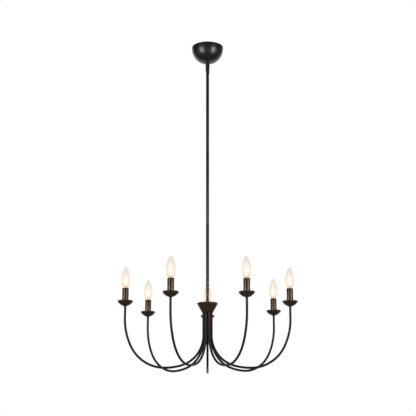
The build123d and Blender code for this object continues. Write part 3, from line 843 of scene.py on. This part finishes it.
def wire_mesh(runs, thickness):
    """A bmesh of round wires along lists of points."""
    curve = bpy.data.curves.new("wire", "CURVE")
    curve.dimensions = "3D"
    curve.bevel_depth = thickness / 2
    curve.bevel_resolution = 1
    curve.use_fill_caps = True
    for points in runs:
        spline = curve.splines.new("NURBS")
        spline.points.add(len(points) - 1)
        for knot, point in zip(spline.points, points):
            knot.co = (*point, 1.0)
        spline.order_u = 3
        spline.use_endpoint_u = True
        spline.resolution_u = 3
    bm = curve_form(curve)
    bmesh.ops.remove_doubles(bm, verts=bm.verts, dist=MERGE_DISTANCE)
    bmesh.ops.recalc_face_normals(bm, faces=bm.faces)
    return bm


# The filament and its two wires, with lengths in metres
WIRE_FOOT = 0.0013
WIRE_SPREAD = 0.0045
WIRE_SEAT = 0.0135
WIRE_BEND = 0.004
WIRE_THICKNESS = 0.0005
FILAMENT_RISE = 0.006
FILAMENT_TURNS = 16
POINTS_PER_TURN = 8
FILAMENT_COIL = 0.0007
FILAMENT_THICKNESS = 0.00035


def filament_feet():
    """Heights of the wires' feet and tops inside the bulb."""
    return GLASS_LOW.z + WIRE_SEAT, BASE_HIGH.z - FILAMENT_RISE


def make_wires():
    """The two lead wires that carry the filament."""
    foot, top = filament_feet()
    route = (
        (WIRE_FOOT, foot), (WIRE_FOOT, foot + WIRE_BEND),
        (WIRE_SPREAD, top - WIRE_BEND), (WIRE_SPREAD, top))
    runs = [[(side * across, 0, height) for across, height in route] for side in (-1, 1)]
    return wire_mesh(runs, WIRE_THICKNESS)


def make_filament():
    """The coiled filament, arched between the tops of its wires."""
    top = filament_feet()[1]
    count = FILAMENT_TURNS * POINTS_PER_TURN
    points = []
    for step in range(count + 1):
        along = pi * step / count
        coil = 2 * pi * step / POINTS_PER_TURN
        swell = 1 + FILAMENT_COIL / WIRE_SPREAD * cos(coil)
        points.append((
            -WIRE_SPREAD * cos(along) * swell,
            FILAMENT_COIL * sin(coil),
            top + FILAMENT_RISE * sin(along) * swell - FILAMENT_COIL,
        ))
    return wire_mesh([points], FILAMENT_THICKNESS)


def shape_of(context):
    """The shape settings."""
    return context.scene.chandelier_shape


def finish_of(context):
    """The finish settings."""
    return context.scene.chandelier_finish


def shared_material(maker, *values):
    """A material made once by its maker, whose name it carries, and used again."""
    return bpy.data.materials.get(maker.__name__) or maker(*values)


# The canopy's screw heads, in metres
SCREW_HEAD_HEIGHT = 0.0024
SCREW_SLOT_WIDTH = 0.0009
SCREW_SLOT_DEPTH = 0.0012
SCREW_SLOT_TURN = radians(25)


class CHANDELIER_OT_canopy(Operator):
    """Model the ceiling dome and its side screws"""

    bl_idname = "chandelier.canopy"
    bl_label = "Canopy"

    def execute(self, context):
        shape = shape_of(context)
        black = shared_material(satin_black, finish_of(context))
        dome = add_piece(
            "canopy_dome", make_canopy(shape), black, "ceiling_mount", ["canopy"])
        left_out("bulbs").objects.link(dome)
        low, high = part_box("canopy_screws")
        head_radius = (high.z - low.z) / 2
        bm = bmesh.new()
        for side in (-1, 1):
            head = make_screw_head(head_radius, SCREW_HEAD_HEIGHT, SCREW_SLOT_WIDTH, SCREW_SLOT_DEPTH)
            seat = Matrix.Translation((0, side * (high.y - SCREW_HEAD_HEIGHT), (low.z + high.z) / 2))
            outwards = Matrix.Rotation(-side * pi / 2, 4, "X")
            place(head, seat @ outwards @ Matrix.Rotation(SCREW_SLOT_TURN, 4, "Z"))
            join(bm, head)
        dull = shared_material(flat_black, finish_of(context))
        add_piece("canopy_screw_heads", bm, dull, "ceiling_mount", ["canopy_screws"])
        return {"FINISHED"}


class CHANDELIER_OT_stem(Operator):
    """Model the rods and finish the swivel"""

    bl_idname = "chandelier.stem"
    bl_label = "Rods and Swivel"

    def execute(self, context):
        black = shared_material(satin_black, finish_of(context))
        bronze = shared_material(dark_bronze, finish_of(context))
        for node in ROD_NODES:
            rod = make_rod(node, shape_of(context))
            # The lowest rod, among the bulbs, takes the browner bronze and the rods above take black; this
            # brown stands partly for painted warm light from the bulbs.
            rod_finish = bronze if node == "lower_rod" else black
            add_piece(f"{node}_tube", rod, rod_finish, "stem", [node])
        for node in ("swivel_fork", "swivel_rivets", "swivel_tongue"):
            dress_node(node, black)
        return {"FINISHED"}


class CHANDELIER_OT_hub(Operator):
    """Model the hub's cover and cone"""

    bl_idname = "chandelier.hub"
    bl_label = "Hub"

    def execute(self, context):
        shape = shape_of(context)
        bronze = shared_material(dark_bronze, finish_of(context))
        add_piece("hub_lid", make_hub_cover(shape), bronze, "stem", ["hub_cover"])
        add_piece("hub_funnel", make_hub_cone(shape), bronze, "stem", ["hub_cone"])
        return {"FINISHED"}


class CHANDELIER_OT_arms(Operator):
    """Model the bent arms, their cups and the candle sleeves"""

    bl_idname = "chandelier.arms"
    bl_label = "Arms, Cups and Sleeves"

    def execute(self, context):
        shape = shape_of(context)
        bronze = shared_material(dark_bronze, finish_of(context))
        dull = shared_material(arm_enamel, finish_of(context))
        brushed = shared_material(brushed_sleeve, finish_of(context))
        for number in ARM_NUMBERS:
            arm = make_arm(shape)
            place(arm, arm_turn(number))
            add_piece(f"arm_tube_{number}", arm, dull, "stem", [f"arm_{number}"])
            cup = make_cup(shape)
            place(cup, cup_place(number))
            add_piece(f"drip_cup_{number}", cup, bronze, "stem", [f"cup_{number}"])
            sleeve = make_sleeve(shape)
            place(sleeve, cup_place(number))
            tube = add_piece(
                f"sleeve_tube_{number}", sleeve, brushed, "stem",
                [f"candle_sleeve_{number}"])
            left_out("bulbs").objects.link(tube)
        return {"FINISHED"}


class CHANDELIER_OT_bulbs(Operator):
    """Model the candle bulbs: glass, screw base, mount, wires and filament"""

    bl_idname = "chandelier.bulbs"
    bl_label = "Bulbs"

    def execute(self, context):
        shape = shape_of(context)
        finish = finish_of(context)
        glass = clear_glass(finish)
        glow = filament_glow(finish)
        brass = shared_material(dull_brass)
        resin = shared_material(moulded_resin)
        steel = shared_material(plated_zinc)
        for number in ARM_NUMBERS:
            body = f"bulb_{number}"
            parts = (
                ("glass", make_glass(shape), glass, "bulb_glass", [f"{body}_glass"]),
                ("screw_base", make_screw_base(shape), [brass, resin], "brass_contact", [f"{body}_base"]),
                ("mount", make_mount(), glass, "bulb_glass", []),
                ("wires", make_wires(), steel, "zinc_steel", []),
                ("filament", make_filament(), glow, "brass_contact", []),
            )
            for label, bm, material, slot, replaced in parts:
                place(bm, cup_place(number))
                piece = add_piece(f"{body}_{label}_form", bm, material, body, replaced)
                if material is glass:
                    piece.visible_shadow = False
                    for lamps in LAMP_KINDS:
                        left_out(lamps).objects.link(piece)
                if material is glow:
                    piece.visible_diffuse = False
                    piece.visible_glossy = False
        return {"FINISHED"}


class CHANDELIER_OT_fittings(Operator):
    """Finish the inner fittings that stay as CAD pieces"""

    bl_idname = "chandelier.fittings"
    bl_label = "Inner Fittings"

    def execute(self, context):
        finishes = {
            plated_zinc: (
                "mounting_bracket", "threaded_nipple", "nipple_locknut", "rod_couplers", "hub_nipple",
                "arm_plate", "hub_locknut", "arm_locknuts"),
            dull_brass: ("socket_shells",),
            moulded_resin: ("lamp_sockets",),
            cable_cover: ("supply_cable_upper", "supply_cable_lower", "arm_leads"),
            connector_cap: ("wire_connectors",),
            earth_green: ("ground_screw",),
        }
        for maker, nodes in finishes.items():
            material = shared_material(maker)
            for node in nodes:
                dress_node(node, material)
        return {"FINISHED"}


# The stage, in metres and degrees, and the camera's sensor in millimetres
FLOOR_RADIUS = 9.0
FLOOR_COLOUR = (0.92, 0.92, 0.92)
WHITE = (1.0, 1.0, 1.0)
SHROUD_COLOUR = (0.012, 0.012, 0.012)
SHROUD_RADIUS = 6.0
SHROUD_EDGE = 3.8
SOFTBOX_AZIMUTH = 47.0
SOFTBOX_DISTANCE = 2.7
SOFTBOX_HEIGHT = -1.1
SOFTBOX_SIZE = (1.1, 1.7)
BULB_LIGHT_COLOUR = (1.0, 0.72, 0.45)
BULB_LIGHT_RADIUS = 0.014
BULB_LIGHT_DROP = 0.012
SENSOR_WIDTH = 36.0


def plain_material(name, colour, roughness):
    """A dull stage surface of one colour."""
    material, tree, shader = new_material(name)
    feed(tree, shader, {
        "Base Color": opaque(colour), "Roughness": roughness, "Specular IOR Level": 0.0})
    return material


def add_stage_piece(name, bm, material):
    """A piece of the stage, which isn't part of the object."""
    mesh = bpy.data.meshes.new(name)
    bm.to_mesh(mesh)
    bm.free()
    mesh.materials.append(material)
    piece = add_object(name, mesh)
    return piece


def add_shroud(material):
    """The dark half of the studio round the camera, seen only in reflections."""
    bm = bmesh.new()
    bmesh.ops.create_uvsphere(bm, u_segments=48, v_segments=24, radius=SHROUD_RADIUS)
    whole = bm.verts[:] + bm.edges[:] + bm.faces[:]
    bmesh.ops.bisect_plane(
        bm, geom=whole, plane_co=(0, SHROUD_EDGE, 0), plane_no=(0, 1, 0), clear_outer=True)
    shroud = add_stage_piece("studio_shroud", bm, material)
    shroud.visible_camera = False
    shroud.visible_diffuse = False
    shroud.visible_transmission = False
    shroud.visible_shadow = False


def add_softbox(name, azimuth, power):
    """A tall soft lamp that faces the axis."""
    lamp = bpy.data.lights.new(name, "AREA")
    lamp.shape = "RECTANGLE"
    lamp.size, lamp.size_y = SOFTBOX_SIZE
    lamp.energy = power
    box = add_object(name, lamp)
    box.matrix_world = (
        Matrix.Rotation(radians(azimuth), 4, "Z")
        @ Matrix.Translation((0, -SOFTBOX_DISTANCE, SOFTBOX_HEIGHT))
        @ Matrix.Rotation(pi / 2, 4, "X"))
    box.visible_camera = False
    box.light_linking.receiver_collection = left_out("softboxes")
    return box


def seen_rays(tree):
    """A value of 1 for the rays of the camera, of reflections and of glass."""
    rays = tree.nodes.new("ShaderNodeLightPath").outputs
    mirrored = math_value(tree, "MAXIMUM", rays["Is Camera Ray"], rays["Is Glossy Ray"])
    return math_value(tree, "MAXIMUM", mirrored, rays["Is Transmission Ray"])


def pale_floor(colour, glow):
    """The floor's dull paint, which looks paler but throws no more light on the object."""
    material = plain_material("pale_floor", colour, 0.7)
    material.cycles.emission_sampling = "NONE"
    tree = material.node_tree
    strength = math_value(tree, "MULTIPLY", seen_rays(tree), glow)
    feed(tree, tree.nodes["Principled BSDF"], {
        "Emission Color": opaque(colour), "Emission Strength": strength})
    return material


def add_bulb_light(number, power):
    """The warm light of one bulb, which moves with it."""
    name = f"bulb_light_{number}"
    lamp = bpy.data.lights.new(name, "POINT")
    lamp.energy = power
    lamp.color = BULB_LIGHT_COLOUR
    lamp.shadow_soft_size = BULB_LIGHT_RADIUS
    spot = add_object(name, lamp)
    cup = centre(f"cup_{number}")
    spot.location = (cup.x, cup.y, BASE_HIGH.z - BULB_LIGHT_DROP)
    spot.visible_camera = False
    spot.visible_transmission = False
    spot.light_linking.receiver_collection = left_out("bulbs")
    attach(spot, f"bulb_{number}")


def light_world(ambient):
    """A white room for the camera, reflections and glass, and a plain even light for the rest."""
    world = bpy.data.worlds.new("white_room")
    world.use_nodes = True
    bpy.context.scene.world = world
    tree = world.node_tree
    even = tree.nodes["Background"]
    feed(tree, even, {"Color": opaque(WHITE), "Strength": ambient})
    seen = add_node(tree, "ShaderNodeBackground", {"Color": opaque(WHITE), "Strength": 1.0})
    mix = add_node(
        tree, "ShaderNodeMixShader", {"Fac": seen_rays(tree), 1: even.outputs[0], 2: seen.outputs[0]})
    feed(tree, tree.nodes["World Output"], {"Surface": mix.outputs[0]})


def add_camera(stage):
    """The camera at the photograph's place and angle."""
    lens = bpy.data.cameras.new("photo_camera")
    lens.lens = stage.lens
    lens.sensor_width = SENSOR_WIDTH
    camera = add_object("photo_camera", lens)
    camera.location = stage.eye
    camera.rotation_euler = (pi / 2 + stage.pitch, 0, 0)
    bpy.context.scene.camera = camera


class CHANDELIER_OT_stage(Operator):
    """Set the floor, the lamps, the white room and the camera"""

    bl_idname = "chandelier.stage"
    bl_label = "Stage"

    def execute(self, context):
        stage = context.scene.chandelier_stage
        bm = bmesh.new()
        bmesh.ops.create_circle(
            bm, cap_ends=True, radius=FLOOR_RADIUS, segments=96,
            matrix=Matrix.Translation((0, 0, stage.floor_height)))
        floor = add_stage_piece("studio_floor", bm, pale_floor(FLOOR_COLOUR, stage.floor_glow))
        floor.visible_glossy = False
        add_shroud(plain_material("shroud_cloth", SHROUD_COLOUR, 0.9))
        add_softbox("softbox_right", SOFTBOX_AZIMUTH, stage.softbox_power)
        add_softbox("softbox_left", -SOFTBOX_AZIMUTH, stage.softbox_power)
        for number in ARM_NUMBERS:
            add_bulb_light(number, stage.bulb_power)
        for lamps in LAMP_KINDS:
            for member in left_out(lamps).collection_objects:
                member.light_linking.link_state = "EXCLUDE"
        light_world(stage.ambient)
        add_camera(stage)
        context.scene.view_settings.view_transform = "Standard"
        return {"FINISHED"}


class CHANDELIER_PT_sidebar(Panel):
    """The chandelier's settings and its making steps"""

    bl_idname = "CHANDELIER_PT_sidebar"
    bl_label = "Candle Chandelier"
    bl_space_type = "VIEW_3D"
    bl_region_type = "UI"
    bl_category = "Chandelier"

    def draw(self, context):
        for step in STEPS:
            self.layout.operator(step.bl_idname)
        for settings in (shape_of(context), finish_of(context), context.scene.chandelier_stage):
            box = self.layout.box()
            for name in settings.__annotations__:
                box.prop(settings, name)


STEPS = (
    CHANDELIER_OT_canopy,
    CHANDELIER_OT_stem,
    CHANDELIER_OT_hub,
    CHANDELIER_OT_arms,
    CHANDELIER_OT_bulbs,
    CHANDELIER_OT_fittings,
    CHANDELIER_OT_stage,
)
CLASSES = (ChandelierShape, ChandelierFinish, ChandelierStage, *STEPS, CHANDELIER_PT_sidebar)


def register():
    """Add the classes and their settings to Blender."""
    for item in CLASSES:
        bpy.utils.register_class(item)
    bpy.types.Scene.chandelier_shape = PointerProperty(type=ChandelierShape)
    bpy.types.Scene.chandelier_finish = PointerProperty(type=ChandelierFinish)
    bpy.types.Scene.chandelier_stage = PointerProperty(type=ChandelierStage)


def unregister():
    """Take the settings and the classes out again."""
    del bpy.types.Scene.chandelier_stage
    del bpy.types.Scene.chandelier_finish
    del bpy.types.Scene.chandelier_shape
    for item in reversed(CLASSES):
        bpy.utils.unregister_class(item)


def main():
    """Dress the whole chandelier."""
    register()
    bpy.ops.chandelier.canopy()
    bpy.ops.chandelier.stem()
    bpy.ops.chandelier.hub()
    bpy.ops.chandelier.arms()
    bpy.ops.chandelier.bulbs()
    bpy.ops.chandelier.fittings()
    bpy.ops.chandelier.stage()


if __name__ == "__main__":
    main()
